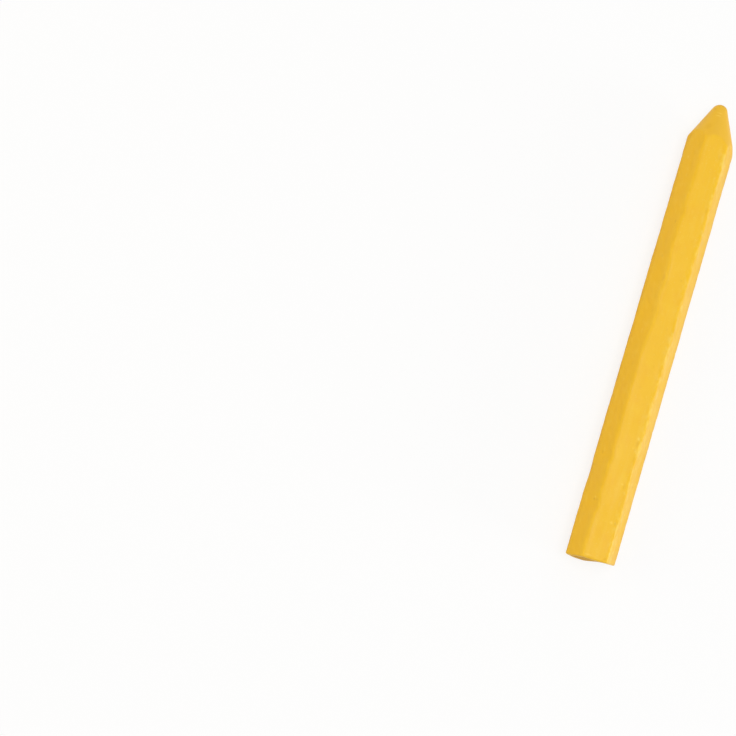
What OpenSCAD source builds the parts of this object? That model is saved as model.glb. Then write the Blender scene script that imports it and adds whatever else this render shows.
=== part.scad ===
// Hexagonal marking chalk, made in one piece: a six-sided shank with a cone on one end
// and a plain butt on the other. The stick lies on one of its facets, along Y, with its
// point towards +Y. The origin is under its middle, on the surface that it lies on.

/* [Shank] */
// Overall length, from the butt to the blunt tip
stick_length = 120; // [60:1:200]
// Width across the flats of the hexagon
across_flats = 11; // [8:0.5:16]
// Radius along each of the six long edges
edge_radius = 0.65; // [0.2:0.05:1.5]

/* [Point] */
// Angle between the axis and the side of the cone, in degrees
cone_half_angle = 24; // [15:1:45]
// Radius of the ball that blunts the tip of the cone
tip_radius = 2; // [0.8:0.1:3]
// Diameter of the small flat on the end of the ball
tip_flat = 1.2; // [0.2:0.1:2]

/* [Butt] */
// Radius along the six edges of the flat butt
rim_radius = 0.5; // [0.2:0.05:1.2]

/* [Look] */
// Colour of the chalk
chalk_colour = "#f5c543"; // ["#f5c543":yellow, "#f4f1e8":white, "#c8402f":red, "#3f78b5":blue]

/* [Hidden] */
$fn = 96;

// The section has six sides, each turned this far from the last
sides = 6;
side_angle = 360 / sides;
// A rounding meets the face beside it at this small angle, never quite tangent
meet_angle = 5;
// Largest share of the ball's reach that the tip's flat may take
flat_share = 0.9;
// How far the forms that shape the ends run past the shank
spare = 2;

// The roundings of the long edges have their centres on this radius
edge_centre = (across_flats / 2 - edge_radius * cos(meet_angle)) / cos(side_angle / 2);
// Half the width across the rounded corners
corner_radius = edge_centre + edge_radius;
// The forms that shape the ends reach this far from the axis, well clear of the corners
form_radius = corner_radius + spare;
form_length = stick_length + spare;

module hexagon(apothem) {
    circle(r = apothem / cos(side_angle / 2), $fn = sides);
}

// The shank's section, with a corner at each side and a flat at the top and bottom
module rounded_hexagon() {
    // The core stops at the chord of each corner's rounding, and the arc does the rest
    chord = edge_centre + edge_radius * cos(side_angle / 2);
    intersection() {
        hexagon(across_flats / 2);
        union() {
            rotate(side_angle / 2)
                hexagon(chord);
            for (i = [0 : sides - 1])
                rotate(i * side_angle)
                    translate([edge_centre, 0])
                        circle(r = edge_radius);
        }
    }
}

// Everything that the cone and its blunt tip leave standing, with the tip at z = 0
module point_form() {
    flat_radius = min(tip_flat / 2, flat_share * tip_radius * cos(cone_half_angle));
    ball_centre = -sqrt(pow(tip_radius, 2) - pow(flat_radius, 2));
    apex = ball_centre + tip_radius * cos(meet_angle) / sin(cone_half_angle);
    // The ball takes over from the cone at this height
    ball_foot = ball_centre + tip_radius * sin(cone_half_angle);
    rotate_extrude()
        intersection() {
            polygon([
                [0, 0],
                [apex * tan(cone_half_angle), 0],
                [form_radius, apex - form_radius / tan(cone_half_angle)],
                [form_radius, -form_length],
                [0, -form_length]
            ]);
            union() {
                translate([0, ball_centre])
                    circle(r = tip_radius);
                translate([0, -form_length])
                    square([form_radius + spare, form_length + ball_foot]);
            }
        }
}

// What the rounding of one edge of the butt takes off, seen along that edge
module rim_cut() {
    centre_height = rim_radius * cos(meet_angle);
    translate([across_flats / 2 - centre_height, 0])
        difference() {
            translate([0, -spare])
                square([rim_radius + spare, centre_height + spare]);
            translate([0, centre_height])
                circle(r = rim_radius);
        }
}

// Everything that the roundings of two opposite edges of the butt leave standing
module rim_form() {
    rotate([90, 0, 0])
        linear_extrude(2 * form_radius, center = true)
            difference() {
                translate([-form_radius, -spare])
                    square([2 * form_radius, form_length + spare]);
                rim_cut();
                mirror([1, 0])
                    rim_cut();
            }
}

// The stick stands on its butt here, along +Z, before it is laid down
module standing_stick() {
    intersection() {
        linear_extrude(form_length)
            rounded_hexagon();
        translate([0, 0, stick_length])
            point_form();
        intersection_for(i = [0 : sides / 2 - 1])
            rotate((i + 1 / 2) * side_angle)
                rim_form();
    }
}

module chalk_stick() {
    color(chalk_colour)
        translate([0, -stick_length / 2, across_flats / 2])
            rotate([-90, 0, 0])
                standing_stick();
}

chalk_stick();
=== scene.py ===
import bpy, math, random
import numpy as np
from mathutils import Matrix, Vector, noise


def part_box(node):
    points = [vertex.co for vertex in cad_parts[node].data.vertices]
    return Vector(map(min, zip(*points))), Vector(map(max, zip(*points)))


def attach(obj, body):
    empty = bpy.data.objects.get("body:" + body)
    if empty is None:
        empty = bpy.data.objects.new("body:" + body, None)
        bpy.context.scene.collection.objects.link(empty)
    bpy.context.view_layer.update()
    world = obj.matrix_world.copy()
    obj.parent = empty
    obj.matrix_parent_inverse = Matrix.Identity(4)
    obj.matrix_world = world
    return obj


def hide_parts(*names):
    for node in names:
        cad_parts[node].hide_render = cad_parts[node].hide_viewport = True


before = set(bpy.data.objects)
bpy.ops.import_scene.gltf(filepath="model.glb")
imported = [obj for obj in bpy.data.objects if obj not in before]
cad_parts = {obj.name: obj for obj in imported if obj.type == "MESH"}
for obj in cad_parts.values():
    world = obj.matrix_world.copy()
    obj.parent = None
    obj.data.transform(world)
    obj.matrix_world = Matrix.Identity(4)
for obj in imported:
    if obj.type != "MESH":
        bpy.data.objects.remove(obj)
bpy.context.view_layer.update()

stickLow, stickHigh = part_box("chalk_stick")
mm = 0.001   # in metres
halfLength = (stickHigh.y - stickLow.y) / 2 / mm
halfWidth = (stickHigh.x - stickLow.x) / 2 / mm
apothem = (stickHigh.z - stickLow.z) / 2 / mm
sixth = math.radians(60)   # of a turn


def linear(colour):   # 0 to 255 as in a colour picker, turned into the light values that shaders take
    return tuple((level / 255) ** 2.2 for level in colour) + (1.0,)


# The stick's form, in mm and degrees. Its length and its widths come from the CAD solid's box.
# Round the section, angles start at +X and turn towards +Z, so the top facet is at 90 degrees.
stick = {
    "sharpDrift": 0.4,       # share by which an edge's crispness changes along it
    "wanderSlow": 0.7,       # how an edge's wandering is shared between long bends
    "wanderQuick": 0.55,     # and short ones
    "edgeReach": 0.3,        # how far round from an edge its own values hold, in radians
    "facetSink": 0.02,       # how far a facet strays inward along its length
    "facetLean": 0.6,        # degrees by which a facet leans one way, then the other
    "coneAngle": 24.0,       # degrees between the axis and the cone's side
    "coneShift": 0.37,       # how far the cone's foot stands off centre, towards -X
    "coneDrop": 0.24,        # and how far down
    "tipShift": 0.09,        # the same as coneShift for its tip, which is at full height
    "coneLength": 12.0,
    "coneSeam": 0.05,        # width over which the cone's finish gives way to the facets'
    "ballRadius": 2.05,
    "tipFlat": 0.7,          # radius of the flat on the tip
    "rimRadius": 0.5,        # round the butt
    "shoulderSharp": 80.0,   # how crisp the crease is where the cone meets the facets
    "shoulderSoft": 42.0,    # the same on its worn side, +X
    "seed": 11,
}


def turnBetween(angles, target):   # the signed turn from a target angle, the short way round
    return np.angle(np.exp(1j * (angles - target)))


# How finely the mesh is divided: points per side, ring steps in mm, and numbers of rings
mesh = {
    "perSide": 27,
    "even": 0.45,            # share of a side's points spread evenly over it
    "crowded": 0.55,         # and the share that crowds towards its corners
    "shankStep": 0.26,
    "coneStep": 0.17,
    "coneEarly": 0.5,        # the fine steps start where the cone would be this much wider than the stick
    "ballLate": 0.3,         # and go on this far past the ball's middle
    "ballStep": 0.12,        # from the last of them to the ball's first ring
    "rimRings": 9,
    "ballRings": 9,
    "buttRings": 12,
    "tipRings": 3,
}


def sectionAngles(count):   # denser towards the corners, where the form turns
    half = math.tan(sixth / 2)
    out = []
    for side in range(6):
        for i in range(count):
            u = 2 * i / count - 1
            x = half * (mesh["even"] * u + mesh["crowded"] * math.sin(u * math.pi / 2))
            out.append(sixth * (side + 0.5) + math.atan(x))
    return np.array(out)


# Smooth noise: how busy it is across, along and up the stick, per mm, and a number that sets it apart
noises = {
    "sink": ((1, 0.04, 1), 1),
    "lean": ((1, 0.03, 1), 11),
    "crisp": ((1, 0.16, 1), 21),
    "wander": ((1, 0.12, 1), 31),
    "wanderQuick": ((1, 0.4, 1), 41),
    "cast": ((0.8, 0.4, 0.8), 51),
    "castFine": ((2.2, 1.4, 2.2), 52),
    "rub": ((0.6, 0.35, 0.6), 53),
    "rubFine": ((1.6, 1.0, 1.6), 56),
    "rings": ((1, 2.4, 1), 54),
    "ringBreaks": ((0.3, 0.2, 0.3), 55),
    "sheenAndDust": ((0.9, 0.45, 0.9), 57),
    "sheenAndDustFine": ((2.4, 1.3, 2.4), 58),
    "scuff": ((0.6, 0.16, 0.8), 59),
    "cut": ((0.5, 0.5, 0.5), 61),
    "cutFine": ((1.6, 1.6, 1.6), 62),
}


def drift(points, name, more=0):   # smooth noise, from about -1 to 1, one value for each point
    scale, offset = noises[name]
    offset += more
    stretch = Vector(scale)
    start = Vector((offset * 7.3, offset * 3.1, offset * 5.7))
    return np.array([noise.noise(Vector(p) * stretch + start) for p in points])


def sumSharp(radii, sharp):   # the smallest of several radii, with the creases between them rounded
    least = np.minimum.reduce(radii)
    total = sum((least / r) ** sharp for r in radii)
    return least * total ** (-1 / sharp)


def ballFromTip():   # where the ball's middle and the point of the full cone lie
    ball = stick["ballRadius"]
    middle = halfLength - math.sqrt(ball ** 2 - stick["tipFlat"] ** 2)
    return middle, middle + ball / math.sin(math.radians(stick["coneAngle"]))


def ringPlaces():   # where the rings of points lie along the axis, and how far the rim draws each one in
    rim, ball = stick["rimRadius"], stick["ballRadius"]
    middle, apex = ballFromTip()
    turn = np.radians(np.linspace(0, 90, mesh["rimRings"]))
    rimPlaces = -halfLength + rim * (1 - np.cos(turn))
    shoulder = apex - (halfWidth + mesh["coneEarly"]) / math.tan(math.radians(stick["coneAngle"]))
    shank = np.arange(rimPlaces[-1] + mesh["shankStep"], shoulder, mesh["shankStep"])
    cone = np.arange(shank[-1] + mesh["coneStep"], middle + mesh["ballLate"], mesh["coneStep"])
    first = math.asin((cone[-1] + mesh["ballStep"] - middle) / ball)
    swing = np.linspace(first, math.acos(stick["tipFlat"] / ball), mesh["ballRings"])
    places = np.concatenate([rimPlaces, shank, cone, middle + ball * np.sin(swing)])
    inset = np.zeros(len(places))
    inset[:len(turn)] = rim * (1 - np.sin(turn))
    return places, inset


# A long edge. The list below says what differs on each of the six.
edge = {
    "sharp": 36,         # how crisp it is
    "wander": 1.5,       # the degrees by which it wanders
    "rub": 0.015,        # how deep it is rubbed
    "spread": 4,         # and over how many degrees
    "sheenAndDust": 0.3,         # how much dust and painted sheen it carries
    "sheenAndDustAt": 0,         # and how many degrees round from the edge
    "sideShade": 0,          # how strong the painted shade along it is
    "sideShadeSpread": 8,    # and over how many degrees
    "chips": 3,
}
sideEdge = {**edge, "sharp": 34, "wander": 2.0, "rub": 0.010, "spread": 5, "chips": 12}
edges = [   # from +X on, so the first and the fourth are at the sides, and the last two below
    # the two side edges carry painted shade
    {**sideEdge, "sideShade": 0.32, "sideShadeSpread": 15},
    # the right-hand top edge: dust, and a painted sheen spread onto the right facet
    {**edge, "sharp": 26, "wander": 2.6, "rub": 0.032, "spread": 6, "sheenAndDust": 0.95, "sheenAndDustAt": -9, "chips": 30},
    {**edge, "sharp": 24, "wander": 3.2, "rub": 0.020, "spread": 6, "sheenAndDust": 0.0, "chips": 14},
    {**sideEdge, "sheenAndDust": 0.0, "sideShade": 0.34, "sideShadeSpread": 9},
    edge,
    edge,
]


def edgeLines(theta, places):   # how far the edges wander off their lines, and how crisp they are
    along = [(0, y, 0) for y in places]
    wander = np.zeros((len(places), len(theta)))
    crisp = np.zeros((len(places), len(theta)))
    nearSum = np.zeros(len(theta))
    for k, line in enumerate(edges):
        near = np.exp(-(turnBetween(theta, sixth * k) / stick["edgeReach"]) ** 2)
        step = stick["wanderSlow"] * drift(along, "wander", k)
        step = step + stick["wanderQuick"] * drift(along, "wanderQuick", k)
        wander += math.radians(line["wander"]) * step[:, None] * near
        change = 1 + stick["sharpDrift"] * drift(along, "crisp", k)
        crisp += line["sharp"] * change[:, None] * near
        nearSum += near
    return wander, crisp / nearSum


# Stretches where a facet was pressed or rubbed out of true: facet, middle, half length, degrees of lean.
# Facet 0 faces the upper right, 1 is the top, 2 the upper left, and 4 is the one that the stick lies on.
restingFacet = 4
leans = [
    (2, 0.8, 4.2, -6.0),
    (2, 4.6, 2.6, -3.5),
    (2, 11.8, 3.4, -5.6),
    (2, 16.0, 1.5, -2.0),
    (2, 29.2, 1.6, -3.8),
    (2, 41.0, 9.5, -3.6),
    (2, -34.3, 1.5, -4.5),
    (2, -39.0, 3.5, 2.5),
    (2, -46.2, 1.8, -4.4),
    (0, -40.0, 7.0, 1.2),
    (0, -35.0, 3.0, 1.5),
    (0, -17.5, 4.0, 1.8),
    (0, -8.0, 3.0, 1.5),
    (0, 12.0, 12.0, 1.0),
    (3, -20.0, 14.0, 2.0),
    (5, 22.0, 16.0, -1.6),
]


def facetLean(side, places):   # how far a facet has sunk along the stick, and the degrees by which it leans
    along = [(0, y, 0) for y in places]
    sink, lean = np.zeros(len(places)), np.zeros(len(places))
    if side != restingFacet:
        sink = stick["facetSink"] * (0.5 + 0.5 * drift(along, "sink", side))
        lean = stick["facetLean"] * drift(along, "lean", side)
    for which, middle, reach, most in leans:
        if which == side:
            lean = lean + most * np.exp(-((places - middle) / reach) ** 2)
    return sink, lean


def shankRadii(theta, places, inset):   # six planes that sink and lean a little, and edges that wander
    wander, crisp = edgeLines(theta, places)
    corner = apothem / math.cos(sixth / 2)
    radii = []
    for side in range(6):
        sink, lean = facetLean(side, places)
        lean = np.radians(lean)
        face = corner * np.cos(sixth / 2 + np.abs(lean)) - sink - inset
        turned = theta + wander - sixth * (side + 0.5) - lean[:, None]
        radii.append(face[:, None] / np.maximum(np.cos(turned), 0.08))   # 0.08 keeps the far side finite
    return sumSharp(radii, crisp)


def pointRadii(theta, places):   # the cone, off centre at its foot, and the ball on its end
    ball = stick["ballRadius"]
    cone = math.radians(stick["coneAngle"])
    middle, apex = ballFromTip()
    above = np.clip(places - middle, 0, ball * 0.9999)   # a hair short of the ball's end
    curved = np.sqrt(ball ** 2 - above ** 2)
    straight = np.maximum((apex - places) * math.tan(cone), 0.05)   # only the ball goes nearer the axis
    own = np.where(places > middle + ball * math.sin(cone), curved, straight)
    down = np.clip((halfLength - places) / stick["coneLength"], 0, 1.2)[:, None]   # 1.2 is past its foot
    shiftX = -stick["tipShift"] - (stick["coneShift"] - stick["tipShift"]) * down
    shiftZ = -stick["coneDrop"] * down
    outward = shiftX * np.cos(theta) + shiftZ * np.sin(theta)
    across = shiftX * np.sin(theta) - shiftZ * np.cos(theta)
    return outward + np.sqrt(np.maximum(own[:, None] ** 2 - across ** 2, 0))


# Single marks: angle round the section, place along it, half width, half length, depth, and how pale
# it is, or how dark where that is below 0
marks = [
    (76, -49.6, 0.45, 0.4, 0.02, 0.6),
    (67, -49.6, 0.25, 0.45, 0.07, -0.35),
    (66, -59.0, 0.5, 0.4, 0.12, -0.4),
    (137, -45.1, 0.35, 0.35, 0.07, -0.6),
    (134, -44.7, 0.3, 0.3, 0.02, 0.8),
    (127, -45.2, 0.3, 0.3, 0.05, -0.4),
    (77, -40.1, 0.35, 0.3, 0.02, 0.7),
    (69, -28.2, 0.35, 0.5, 0.05, 0.9),
    (62, -30.0, 0.4, 1.2, 0.05, 0.8),
    (69, -31.4, 0.3, 0.3, 0.03, 0.5),
    (45, -28.6, 0.4, 1.0, 0.05, 0.5),
    (134, 26.6, 0.3, 0.6, 0.05, -0.4),
    (146, 17.5, 0.4, 0.5, 0.05, -0.25),
    (124, 12.0, 0.5, 1.2, 0.06, -0.2),
    (132, 7.1, 0.4, 1.0, 0.04, -0.1),
    (129, 3.3, 0.4, 0.8, 0.04, -0.1),
    (77, -0.5, 0.3, 0.4, 0.04, -0.15),
    (157, 44.1, 0.3, 0.35, 0.03, 0.6),
    (144, 39.1, 0.25, 0.6, 0.03, 0.3),
    (144, 29.4, 0.25, 0.8, 0.03, 0.2),
    (143, -2.0, 0.25, 0.7, 0.03, 0.3),
    (104, 56.2, 0.75, 0.13, 0.03, 0.7),
    (101, 57.0, 0.8, 0.13, 0.03, 0.6),
    (124, 52.4, 0.9, 1.6, 0.03, -0.18),
    (40, -56.5, 0.5, 0.6, 0.04, 0.9),
    (36, -46.8, 0.35, 0.35, 0.03, 0.9),
    (44, -39.2, 0.3, 0.35, 0.03, 0.7),
    # a painted highlight along the top of the butt's rim
    (110, -58.9, 1.2, 0.3, 0.0, 0.5),
    (168, 50.0, 0.4, 1.4, 0.03, -0.35),
    (158, 52.9, 0.3, 0.3, 0.04, -0.35),
    (152, 55.5, 0.35, 0.5, 0.03, -0.3),
    (139, 58.3, 0.5, 0.8, 0.02, -0.3),
    (-19, -57.5, 0.6, 0.9, 0.08, 0.4),
    (49, -27.8, 0.35, 0.5, 0.04, 0.55),
    (34, -28.0, 0.3, 0.8, 0.05, -0.45),
    (22, -28.3, 0.3, 0.6, 0.03, 0.6),
    (26, -29.5, 0.25, 0.7, 0.05, -0.4),
    (46, -30.2, 0.3, 0.6, 0.04, 0.3),
    (9, -31.6, 0.3, 0.4, 0.04, -0.5),
    (38, -33.5, 0.3, 0.7, 0.04, 0.4),
    (22, -33.6, 0.3, 0.8, 0.04, -0.3),
    (20, -38.7, 0.3, 0.35, 0.03, 0.7),
    (36, -39.8, 0.35, 0.4, 0.05, -0.5),
    (24, -40.2, 0.3, 0.4, 0.04, 0.5),
    (12, -38.2, 0.3, 0.4, 0.05, -0.5),
    (18, -35.5, 0.3, 0.5, 0.05, -0.4),
    (30, -25.6, 0.3, 0.6, 0.04, -0.3),
    (17, -24.8, 0.3, 0.5, 0.03, 0.4),
    (68, -29.6, 0.35, 1.0, 0.05, -0.3),
    (70, -31.2, 0.25, 0.3, 0.04, -0.3),
    (75, -30.8, 0.25, 0.3, 0.03, 0.4),
    (66, -33.2, 0.3, 0.8, 0.03, -0.2),
    (72, -40.6, 0.3, 0.9, 0.04, -0.25),
    (155, -33.4, 0.35, 0.5, 0.05, -0.35),
    (148, -33.0, 0.3, 0.4, 0.03, 0.35),
]
# Chips on the edges and pits all over, scattered at random. Widths are half widths, "...More" is what
# chance adds, and "longest" is how long one gets against its width.
chip = {
    "width": 0.3,
    "widthMore": 0.3,
    "depth": 0.02,
    "depthMore": 0.045,
    "stray": 2.5,            # degrees from the edge
    "places": (-59, 48),
    "longest": 2.4,
    "tone": 0.6,             # how pale, against the edge's dust and painted sheen
}
pit = {
    "count": 90,
    "width": 0.22,
    "widthMore": 0.28,
    "depth": 0.01,
    "depthMore": 0.025,
    "angles": (-60, 240),
    "places": (-59, 55),
    "longest": 2.2,
    "tones": (-0.25, 0.2),
}


def scatterMarks():   # the single marks, then chips on the edges and small pits all over
    draw = random.Random(stick["seed"])
    out = list(marks)
    for k, line in enumerate(edges):
        for i in range(line["chips"]):
            width = chip["width"] + chip["widthMore"] * draw.random()
            depth = chip["depth"] + chip["depthMore"] * draw.random() ** 2
            angle = 60 * k + draw.uniform(-chip["stray"], chip["stray"])
            tone = chip["tone"] * line["sheenAndDust"] * draw.random()
            place = draw.uniform(*chip["places"])
            length = width * draw.uniform(1, chip["longest"])
            out.append((angle, place, width, length, depth, tone))
    for i in range(pit["count"]):
        width = pit["width"] + pit["widthMore"] * draw.random()
        depth = pit["depth"] + pit["depthMore"] * draw.random()
        place = draw.uniform(*pit["places"])
        angle = draw.uniform(*pit["angles"])
        length = width * draw.uniform(1, pit["longest"])
        out.append((angle, place, width, length, depth, draw.uniform(*pit["tones"])))
    return out


# The worn surface: depths in mm, tones from 0 to 1. Each "...Lift" is added to a noise before it is used.
wear = {
    "castDepth": 0.020,      # waves left by the mould
    "castFineDepth": 0.010,
    "castLift": 0.4,
    "rubLift": 0.35,
    "rubFine": 0.8,          # share of fine noise against coarse, where the edges are rubbed
    "sheenAndDustLift": 0.3,
    "sheenAndDustFine": 0.9,         # and where they carry dust and painted sheen
    "sheenAndDustReach": 3.3,        # how far the dust and painted sheen go, against how far the rubbing goes
    "noiseTop": 1.2,         # where rubbing, dust and painted sheen stop growing
    # for the painted shade along the two side edges
    "sideShadeLift": 0.6,
    "ringDepth": 0.010,      # turning marks on the cone
    "scuffSlant": 2.5,       # slanting scuffs on the facets, along a line this steep
    "scuffDepth": 0.042,
    "scuffLift": 0.4,
    "scuffHighlight": 0.25,       # painted highlight on the high ones
    "scuffHighlightFrom": -0.2,
    "scuffShade": 0.2,        # and painted shade in the deep ones
    "scuffShadeFrom": 0.15,
    "topCalm": 0.8,          # how much of the scuffing the top facet is spared
    "topReach": 0.52,        # half its width, in radians
    "leftShadeAt": 2.5,          # the middle of the painted warm shade on the left facet, counted in edges from +X
    "leftShadeSpread": 26,       # and how many degrees it takes in
    "dentCurve": 1.5,        # above 1, dents have a narrow bottom
    "restCalm": 0.9,         # how much of all wear the resting facet is spared
    "restReach": 0.42,       # in radians
    "tipCalm": 0.7,          # and how much the ball is
    "tipCalmOver": 1.5,
}


def nearEdge(theta, k, offset, spread):   # 1 on a line along the stick, falling to 0 beside it
    return np.exp(-(turnBetween(theta, sixth * k + math.radians(offset)) / math.radians(spread)) ** 2)


def onEveryRing(row, count):   # one value for each angle, repeated for all the rings
    return np.repeat(row[None, :], count, 0).reshape(-1)


def onEdges(theta, count, lines):   # the sum over the edges of a strength, with its offset and its spread
    total = np.zeros(len(theta))
    for k, (strength, offset, spread) in enumerate(lines):
        total += strength * nearEdge(theta, k, offset, spread)
    return onEveryRing(total, count)


def edgeWearSheenAndShade(theta, points, count, offCone):   # how deep the edges are rubbed, their dust and painted sheen, and the painted shade along the side edges
    worn = wear["rubLift"] + drift(points, "rub") + wear["rubFine"] * drift(points, "rubFine")
    worn = np.clip(worn, 0, wear["noiseTop"])
    speckle = wear["sheenAndDustLift"] + drift(points, "sheenAndDust") + wear["sheenAndDustFine"] * drift(points, "sheenAndDustFine")
    speckle = np.clip(speckle, 0, wear["noiseTop"])
    reach = wear["sheenAndDustReach"]
    rubbed = onEdges(theta, count, [(line["rub"], 0, line["spread"]) for line in edges])
    # dust, and painted sheen mostly by the right-hand top edge
    sheenAndDustNear = onEdges(theta, count, [(line["sheenAndDust"], line["sheenAndDustAt"], reach * line["spread"]) for line in edges])
    sideShadeNear = onEdges(theta, count, [(line["sideShade"], 0, line["sideShadeSpread"]) for line in edges])
    # painted shade along the two side edges
    sideShade = (wear["sideShadeLift"] + speckle) * sideShadeNear * offCone
    return worn * rubbed * offCone, speckle * sheenAndDustNear * offCone, sideShade


def scuffsWithPaintedLight(theta, points, count, offCone):   # slanting scuffs: their depth, with a painted highlight on the high ones and painted shade in the deep ones
    top = np.exp(-(turnBetween(theta, math.radians(90)) / wear["topReach"]) ** 6)
    side = (1 - wear["topCalm"] * onEveryRing(top, count)) * offCone
    x, y, z = points.T
    slanted = np.stack([wear["scuffSlant"] * x + y, x - wear["scuffSlant"] * y, z], 1)
    scuff = drift(slanted, "scuff")
    depth = wear["scuffDepth"] * side * np.clip(wear["scuffLift"] + scuff, 0, 1)
    # painted highlight on the high parts of the scuffs
    pale = wear["scuffHighlight"] * side * np.clip(wear["scuffHighlightFrom"] - scuff, 0, 1)
    # painted shade in the deep parts of the scuffs
    dark = wear["scuffShade"] * side * np.clip(scuff - wear["scuffShadeFrom"], 0, 1)
    return depth, pale, dark


def addMarks(theta, places, points, pale, dark):   # how deep the marks are, and the tones with theirs added
    hollow = np.zeros(len(points))
    for angle, place, width, length, depth, tone in scatterMarks():
        row = int(np.argmin(np.abs(places - place)))
        column = int(np.argmin(np.abs(turnBetween(theta, math.radians(angle)))))
        centre = points[row * len(theta) + column]
        away = ((points[:, 0] - centre[0]) ** 2 + (points[:, 2] - centre[2]) ** 2) / width ** 2
        away += (points[:, 1] - centre[1]) ** 2 / length ** 2
        share = np.clip(1 - away, 0, 1)
        hollow = np.maximum(hollow, depth * share ** wear["dentCurve"])
        pale = np.maximum(pale, tone * share)
        dark = np.maximum(dark, -tone * share)
    return hollow, pale, dark


def wearDown(theta, places, radius, onCone):   # how far the surface lies below the clean form, and its tones
    count = len(places)
    offCone = 1 - onCone
    ringsAt = np.repeat(places[:, None], len(theta), 1)
    points = np.stack([radius * np.cos(theta), ringsAt, radius * np.sin(theta)], -1).reshape(-1, 3)
    cast = wear["castDepth"] * (wear["castLift"] + drift(points, "cast"))
    cast = cast + wear["castFineDepth"] * (wear["castLift"] + drift(points, "castFine"))
    rings = 0.5 + drift([(0, y, 0) for y in points[:, 1]], "rings")
    turning = wear["ringDepth"] * rings * (0.5 + 0.5 * drift(points, "ringBreaks")) * onCone
    rub, sheenAndDust, sideShade = edgeWearSheenAndShade(theta, points, count, offCone)
    scuffDepth, pale, dark = scuffsWithPaintedLight(theta, points, count, offCone)
    lower = np.clip(cast, 0, 1) + rub + np.clip(turning, 0, 1) + scuffDepth

    hollow, pale, dark = addMarks(theta, places, points, pale, dark)
    # the painted shade along the side edges joins the dark tone
    dark = np.maximum(dark, sideShade)
    # painted warm shade over the left facet
    leftShade = onEveryRing(nearEdge(theta, wear["leftShadeAt"], 0, wear["leftShadeSpread"]), count) * offCone
    lower = lower + hollow
    resting = np.exp(-(turnBetween(theta, math.radians(270)) / wear["restReach"]) ** 4)
    lower *= 1 - wear["restCalm"] * onEveryRing(resting, count)
    onBall = np.clip((places - ballFromTip()[0] + wear["tipCalmOver"]) / wear["tipCalmOver"], 0, 1)
    lower *= 1 - wear["tipCalm"] * np.repeat(onBall, len(theta))
    tones = {"sheenAndDust": sheenAndDust, "pale": pale, "dark": dark, "leftShade": leftShade, "cone": onCone}
    return lower.reshape(radius.shape), tones


# The butt's cut, which was made by hand, in mm: how far it stands in, and its surface
buttCut = {
    "high": 0.6,             # at the top
    "lowLeft": 0.01,         # at the bottom on the left side
    "lowRight": 0.85,        # and at the bottom on the right side
    "twistFrom": -1.0,       # where across the stick the bottom starts to go from left to right
    "twistOver": 5.0,        # and the width over which it does
    "curve": 1.8,            # above 1, the cut bends back late on its way up
    "reach": 4.0,            # the length over which all that fades out
    "middle": 0.01,          # in the middle of the face
    "rough": 0.04,           # depth of the face's roughness
    "roughLift": 0.3,
    "fine": 0.5,             # share of fine noise against coarse
    "fade": 0.14,            # share of the face over which its painted shade comes up from the rim
    "tone": 0.85,            # how strong that painted shade is, and how uneven
    "toneChange": 0.6,
}


def cutInset(verts):   # the cut is a little out of square, and twisted
    right = np.clip((verts[:, 0] - buttCut["twistFrom"]) / buttCut["twistOver"], 0, 1)
    right = right ** 2 * (3 - 2 * right)
    low = buttCut["lowLeft"] + (buttCut["lowRight"] - buttCut["lowLeft"]) * right
    height = np.clip(0.5 + verts[:, 2] / (2 * apothem), 0, 1) ** buttCut["curve"]
    near = np.clip(1 - (verts[:, 1] + halfLength) / buttCut["reach"], 0, 1)
    return (low + (buttCut["high"] - low) * height) * near


def drawnIn(ring, share):   # a ring drawn in towards the axis
    return ring * np.array([share, 1, share])


def cutFace(rim):   # the butt's rings, roughened, from its middle out, and how strong the painted shade on the cut is
    shares = np.linspace(0, 1, mesh["buttRings"] + 1)[1:-1]
    rings = [drawnIn(rim, share) for share in shares]
    tones = []
    for share, ring in zip(shares, rings):
        rough = drift(ring, "cut") + buttCut["fine"] * drift(ring, "cutFine")
        ring[:, 1] += buttCut["rough"] * np.clip(buttCut["roughLift"] + rough, 0, 1)
        uneven = np.clip(buttCut["tone"] + buttCut["toneChange"] * rough, 0, 1)
        tones.append(min((1 - share) / buttCut["fade"], 1) * uneven)
    return rings, tones


def stickPoints():   # rings from the butt's middle to the tip's middle, with the tones that the finish reads
    theta = sectionAngles(mesh["perSide"])
    places, inset = ringPlaces()
    shank = shankRadii(theta, places, inset)
    point = pointRadii(theta, places)
    soft = 0.5 + 0.5 * np.cos(theta)   # 1 at +X and 0 at -X
    sharp = stick["shoulderSharp"] + (stick["shoulderSoft"] - stick["shoulderSharp"]) * soft
    radius = sumSharp([shank, point], np.repeat(sharp[None, :], len(places), 0))
    solid = np.minimum(apothem / np.cos((theta % sixth) - sixth / 2), halfWidth)
    radius = np.minimum(radius, solid)   # never outside the CAD solid
    onCone = 1 / (1 + np.exp((point - shank).reshape(-1) / stick["coneSeam"]))
    lower, tones = wearDown(theta, places, radius, onCone)
    radius = radius - lower

    rings = []
    for row, y in zip(radius, places):
        rings.append(np.stack([row * np.cos(theta), np.full(len(theta), y), row * np.sin(theta)], 1))
    butt, cut = cutFace(rings[0])
    tip = [drawnIn(rings[-1], share) for share in np.linspace(1, 0, mesh["tipRings"] + 1)[1:-1]]
    middles = np.array([[0, -halfLength + buttCut["middle"], 0], [0, halfLength, 0]])   # butt's, tip's
    verts = np.concatenate(butt + rings + tip + [middles])
    verts[:, 1] += cutInset(verts)
    verts[:, 2] += apothem

    before, after = len(butt) * len(theta), len(tip) * len(theta) + len(middles)
    for name in tones:
        tones[name] = np.concatenate([np.zeros(before), tones[name], np.full(after, tones[name][-1])])
        tones[name][-2] = 0   # the butt's middle
    tones["cut"] = np.concatenate(cut + [np.zeros(len(verts) - before)])
    tones["cut"][-2] = cut[0].mean()
    return verts, len(butt) + len(rings) + len(tip), len(theta), tones


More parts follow.
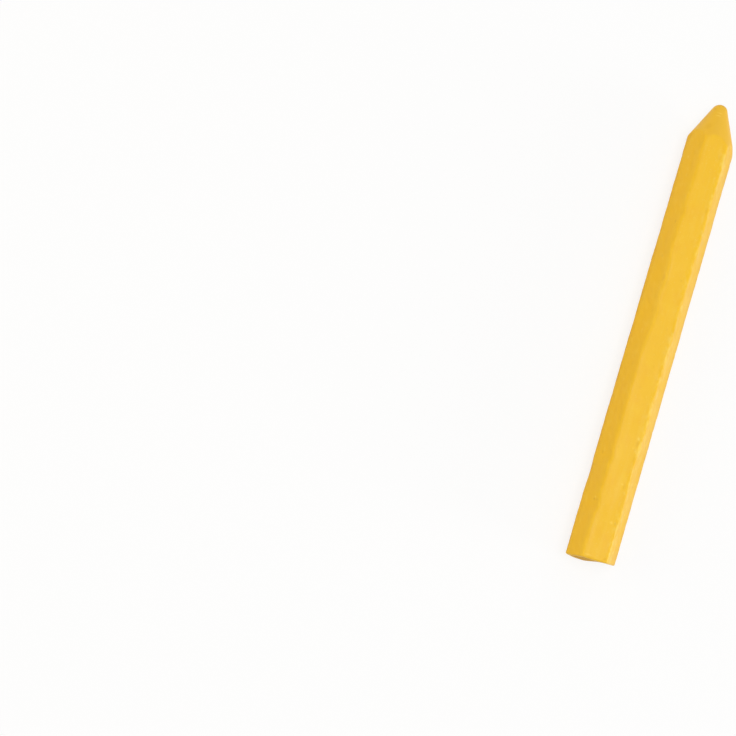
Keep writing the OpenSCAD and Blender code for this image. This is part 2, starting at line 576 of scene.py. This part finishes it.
def buildStick():
    verts, rings, count, tones = stickPoints()
    faces = []
    for k in range(rings - 1):
        for j in range(count):
            n = (j + 1) % count
            faces.append((k * count + j, k * count + n, (k + 1) * count + n, (k + 1) * count + j))
    last = (rings - 1) * count
    for j in range(count):   # the last two points are the butt's middle and the tip's
        n = (j + 1) % count
        faces.append((len(verts) - 2, n, j))
        faces.append((last + j, last + n, len(verts) - 1))
    data = bpy.data.meshes.new("chalkStick")
    data.from_pydata((verts * mm).tolist(), [], faces)
    data.update()
    data.shade_smooth()
    for name, values in tones.items():
        layer = data.attributes.new(name, "FLOAT", "POINT")
        layer.data.foreach_set("value", values.astype(np.float32))
    made = bpy.data.objects.new("chalkStick", data)
    bpy.context.scene.collection.objects.link(made)
    return made


piece = buildStick()
triangles = sum(len(face.vertices) - 2 for face in piece.data.polygons)
print("stick built:", len(piece.data.vertices), "points,", triangles, "triangles")


chalk = {
    "yellow": (245, 192, 40),
    "deep": (243, 186, 35),      # where the colour lies thick
    # deeper patches, and the painted warm shade on the left facet
    "warm": (243, 182, 43),
    "light": (248, 200, 48),
    "cone": (242, 188, 50),      # where it was sharpened
    "cut": (214, 157, 37),       # painted shade on the butt's cut face, which is also rougher
    "cutRoughness": 0.95,
    "pale": (250, 220, 117),     # rubbed edges, dust, and the painted sheen by the right-hand top edge
    "fleck": (254, 213, 88),     # small pale marks, and painted highlights on high scuffs and on the butt's rim
    "darkMarksAndShade": (198, 136, 34),      # darker tone of the dark marks, and painted shade in deep scuffs and along the two side edges
    "roughness": 0.42,
    "roughnessSwing": 0.07,      # up and down from that
    "gloss": 0.29,
    "clouds": 300,               # noise scales per metre: of the change in roughness
    "cloudStretch": (1, 0.5, 1),
    "cloudRange": (0.3, 0.7),    # of the noise, over which the roughness goes from low to high
    "grain": 3500,               # of the fine grain
    "streaks": 900,              # and of the streaks along the stick
    "grainShare": 0.5,
    "streakShare": 0.5,
    "bumpStrength": 0.35,
    "bumpDepth": 0.00003,
}
streakStretch = (1, 0.05, 1)   # long and thin, along the stick
# Patches of colour in the chalk: noise scale per metre, its stretch, its detail, the range of the noise
# over which a patch comes up, how strong it gets, and its colour
patches = [
    (220, (1, 0.35, 1), 4, 0.42, 0.75, 0.4, "deep"),
    (360, (1, 0.6, 1), 3, 0.50, 0.72, 0.4, "warm"),
    (430, (1.1, 0.7, 1), 3, 0.52, 0.74, 0.35, "light"),
    (900, streakStretch, 2, 0.50, 0.80, 0.1, "pale"),
    (2600, (1, 0.8, 1), 1, 0.68, 0.74, 0.2, "pale"),
]
# The tones kept in the mesh, in the order they are laid on: the tone, the range over which it comes up,
# how strong it gets, and its colour
layers = [
    # painted warm shade on the left facet
    ("leftShade", 0.0, 1.0, 0.7, "deep"),
    ("cone", 0.0, 1.0, 0.9, "cone"),
    # dust, and painted sheen by the right-hand top edge
    ("sheenAndDust", 0.1, 1.0, 0.45, "pale"),
    # pale marks, with painted highlights on high scuffs and the butt's rim
    ("pale", 0.0, 0.7, 0.85, "fleck"),
    # dark marks, with painted shade from deep scuffs and the side edges
    ("dark", 0.0, 0.9, 0.7, "darkMarksAndShade"),
    # painted shade on the butt's cut face, with its real roughness
    ("cut", 0.0, 1.0, 1.0, "cut"),
]


def node(tree, kind, **settings):
    made = tree.nodes.new(kind)
    for key, value in settings.items():
        setattr(made, key, value)
    return made


def noiseAt(tree, coords, scale, stretch, detail):   # noise with its own stretch along the stick
    mapping = node(tree, "ShaderNodeMapping")
    mapping.inputs["Scale"].default_value = stretch
    tree.links.new(coords, mapping.inputs["Vector"])
    made = node(tree, "ShaderNodeTexNoise")
    made.inputs["Scale"].default_value = scale
    made.inputs["Detail"].default_value = detail
    tree.links.new(mapping.outputs["Vector"], made.inputs["Vector"])
    return made.outputs["Fac"]


def ramp(tree, value, low, high, lowTo=0.0, highTo=1.0):
    made = node(tree, "ShaderNodeMapRange")
    made.inputs["From Min"].default_value = low
    made.inputs["From Max"].default_value = high
    made.inputs["To Min"].default_value = lowTo
    made.inputs["To Max"].default_value = highTo
    tree.links.new(value, made.inputs["Value"])
    return made.outputs["Result"]


def blendColour(tree, amount, first, second):
    made = node(tree, "ShaderNodeMix", data_type="RGBA")
    tree.links.new(amount, made.inputs["Factor"])
    for socket, colour in ((made.inputs["A"], first), (made.inputs["B"], second)):
        if isinstance(colour, tuple):
            socket.default_value = colour
        else:
            tree.links.new(colour, socket)
    return made.outputs["Result"]


def combine(tree, operation, first, second):
    made = node(tree, "ShaderNodeMath", operation=operation)
    for socket, value in ((made.inputs[0], first), (made.inputs[1], second)):
        if isinstance(value, (int, float)):
            socket.default_value = value
        else:
            tree.links.new(value, socket)
    return made.outputs[0]


def chalkMaterial():
    material = bpy.data.materials.new("yellowChalk")
    material.use_nodes = True
    tree = material.node_tree
    shader = tree.nodes["Principled BSDF"]
    coords = node(tree, "ShaderNodeTexCoord").outputs["Object"]

    colour = linear(chalk["yellow"])
    for scale, stretch, detail, low, high, most, name in patches:
        amount = ramp(tree, noiseAt(tree, coords, scale, stretch, detail), low, high, highTo=most)
        colour = blendColour(tree, amount, colour, linear(chalk[name]))
    for tone, low, high, most, name in layers:
        level = node(tree, "ShaderNodeAttribute", attribute_name=tone).outputs["Fac"]
        colour = blendColour(tree, ramp(tree, level, low, high, highTo=most), colour, linear(chalk[name]))
    tree.links.new(colour, shader.inputs["Base Color"])

    middle, swing = chalk["roughness"], chalk["roughnessSwing"]
    clouds = noiseAt(tree, coords, chalk["clouds"], chalk["cloudStretch"], detail=3)
    rough = ramp(tree, clouds, *chalk["cloudRange"], middle - swing, middle + swing)
    cut = node(tree, "ShaderNodeAttribute", attribute_name="cut").outputs["Fac"]
    rough = combine(tree, "MAXIMUM", rough, ramp(tree, cut, 0.0, 1.0, highTo=chalk["cutRoughness"]))
    tree.links.new(rough, shader.inputs["Roughness"])
    shader.inputs["Specular IOR Level"].default_value = chalk["gloss"]

    grain = noiseAt(tree, coords, chalk["grain"], (1, 1, 1), detail=2)
    streaks = noiseAt(tree, coords, chalk["streaks"], streakStretch, detail=2)
    grain = combine(tree, "MULTIPLY", grain, chalk["grainShare"])
    streaks = combine(tree, "MULTIPLY", streaks, chalk["streakShare"])
    bump = node(tree, "ShaderNodeBump")
    bump.inputs["Strength"].default_value = chalk["bumpStrength"]
    bump.inputs["Distance"].default_value = chalk["bumpDepth"]
    tree.links.new(combine(tree, "ADD", grain, streaks), bump.inputs["Height"])
    tree.links.new(bump.outputs["Normal"], shader.inputs["Normal"])
    return material


piece.data.materials.append(chalkMaterial())
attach(piece, "root")
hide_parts("chalk_stick")
print("finish made")


studio = {
    "floorSize": 6.0,
    "floorDrop": 0.00003,    # keeps the floor from touching the stick's lower facet
    "floorGrey": 0.8,        # what the floor gives back to the chalk
    "floorShown": 0.2,       # how much of its shading shows
    "floorGlow": 0.795,      # and how white it is without any
    "fadeStart": 0.2,        # from here to fadeEnd, the floor turns into the plain background
    "fadeEnd": 0.7,
    "background": 0.985,
    "worldLevel": 0.49,
}
# Soft round lamps, all aimed at the stick: name, place and size in metres, power in watts, and colour
lamps = [
    ("overhead", (0.0, 0.0, 1.2), 0.8, 5.4, (1.0, 1.0, 1.0)),
    ("highFront", (-0.1, -0.6, 1.0), 0.8, 1.1, (1.0, 1.0, 1.0)),
    ("lowRight", (1.1, -0.1, 0.14), 0.5, 5.4, (1.0, 1.0, 1.0)),
    ("left", (-1.0, 0.0, 0.5), 0.8, 2.5, (1.0, 0.86, 0.58)),
    ("farEnd", (0.2, 1.0, 0.6), 0.8, 1.0, (1.0, 1.0, 1.0)),
]
# The camera looks down on the stick. Its lens and sensor are in mm, the rest is in metres and degrees.
viewpoint = {
    "lens": 66.0,
    "sensor": 36.0,
    "place": (-0.068, -0.06897, 0.33486),
    "turn": (6.14, -2.37, 17.405),
    "nearest": 0.01,
    "farthest": 20,
}


def grey(level):
    return (level, level, level, 1.0)


def seenPlainly(tree):   # 1 for what the camera, a mirror or glass looks at, 0 for other light
    path = node(tree, "ShaderNodeLightPath")
    amount = path.outputs["Is Camera Ray"]
    for name in ("Is Glossy Ray", "Is Transmission Ray"):
        amount = combine(tree, "MAXIMUM", amount, path.outputs[name])
    return amount


def blendShader(tree, amount, first, second):
    made = node(tree, "ShaderNodeMixShader")
    tree.links.new(amount, made.inputs[0])
    tree.links.new(first, made.inputs[1])
    tree.links.new(second, made.inputs[2])
    return made.outputs[0]


def makeFloor():
    half = studio["floorSize"] / 2
    data = bpy.data.meshes.new("floor")
    corners = [(-half, -half, 0), (half, -half, 0), (half, half, 0), (-half, half, 0)]
    data.from_pydata(corners, [], [(0, 1, 2, 3)])
    floor = bpy.data.objects.new("floor", data)
    floor.location.z = -studio["floorDrop"]
    bpy.context.scene.collection.objects.link(floor)
    material = bpy.data.materials.new("paleFloor")
    material.use_nodes = True
    tree = material.node_tree
    tree.nodes.clear()
    real = node(tree, "ShaderNodeBsdfDiffuse")
    real.inputs["Color"].default_value = grey(studio["floorGrey"])
    shown = node(tree, "ShaderNodeBsdfDiffuse")
    shown.inputs["Color"].default_value = grey(studio["floorShown"])
    glow = node(tree, "ShaderNodeEmission")
    glow.inputs["Strength"].default_value = studio["floorGlow"]
    near = node(tree, "ShaderNodeAddShader")
    tree.links.new(shown.outputs[0], near.inputs[0])
    tree.links.new(glow.outputs[0], near.inputs[1])
    far = node(tree, "ShaderNodeEmission")
    far.inputs["Strength"].default_value = studio["background"]

    away = node(tree, "ShaderNodeVectorMath", operation="LENGTH")
    tree.links.new(node(tree, "ShaderNodeTexCoord").outputs["Object"], away.inputs[0])
    distance = ramp(tree, away.outputs["Value"], studio["fadeStart"], studio["fadeEnd"])
    seen = blendShader(tree, distance, near.outputs[0], far.outputs[0])
    surface = blendShader(tree, seenPlainly(tree), real.outputs[0], seen)
    tree.links.new(surface, node(tree, "ShaderNodeOutputMaterial").inputs["Surface"])
    data.materials.append(material)


def makeWorld():
    world = bpy.data.worlds.new("studio")
    bpy.context.scene.world = world
    world.use_nodes = True
    tree = world.node_tree
    tree.nodes.clear()
    room = node(tree, "ShaderNodeBackground")
    room.inputs["Strength"].default_value = studio["worldLevel"]
    seen = node(tree, "ShaderNodeBackground")
    seen.inputs["Color"].default_value = grey(studio["background"])
    surface = blendShader(tree, seenPlainly(tree), room.outputs[0], seen.outputs[0])
    tree.links.new(surface, node(tree, "ShaderNodeOutputWorld").inputs["Surface"])


def softLight(name, place, size, power, colour):
    light = bpy.data.lights.new(name, "AREA")
    light.shape = "DISK"
    light.size = size
    light.energy = power
    light.color = colour
    lamp = bpy.data.objects.new(name, light)
    lamp.location = place
    lamp.rotation_euler = (-Vector(place)).to_track_quat("-Z", "Y").to_euler()
    bpy.context.scene.collection.objects.link(lamp)


def makeCamera():
    data = bpy.data.cameras.new("camera")
    data.lens = viewpoint["lens"]
    data.sensor_width = viewpoint["sensor"]
    data.clip_start = viewpoint["nearest"]
    data.clip_end = viewpoint["farthest"]
    camera = bpy.data.objects.new("camera", data)
    camera.location = viewpoint["place"]
    camera.rotation_euler = tuple(math.radians(angle) for angle in viewpoint["turn"])
    bpy.context.scene.collection.objects.link(camera)
    bpy.context.scene.camera = camera


makeFloor()
makeWorld()
for lamp in lamps:
    softLight(*lamp)
makeCamera()
bpy.context.scene.view_settings.view_transform = "Standard"
print("stage, light and camera made")
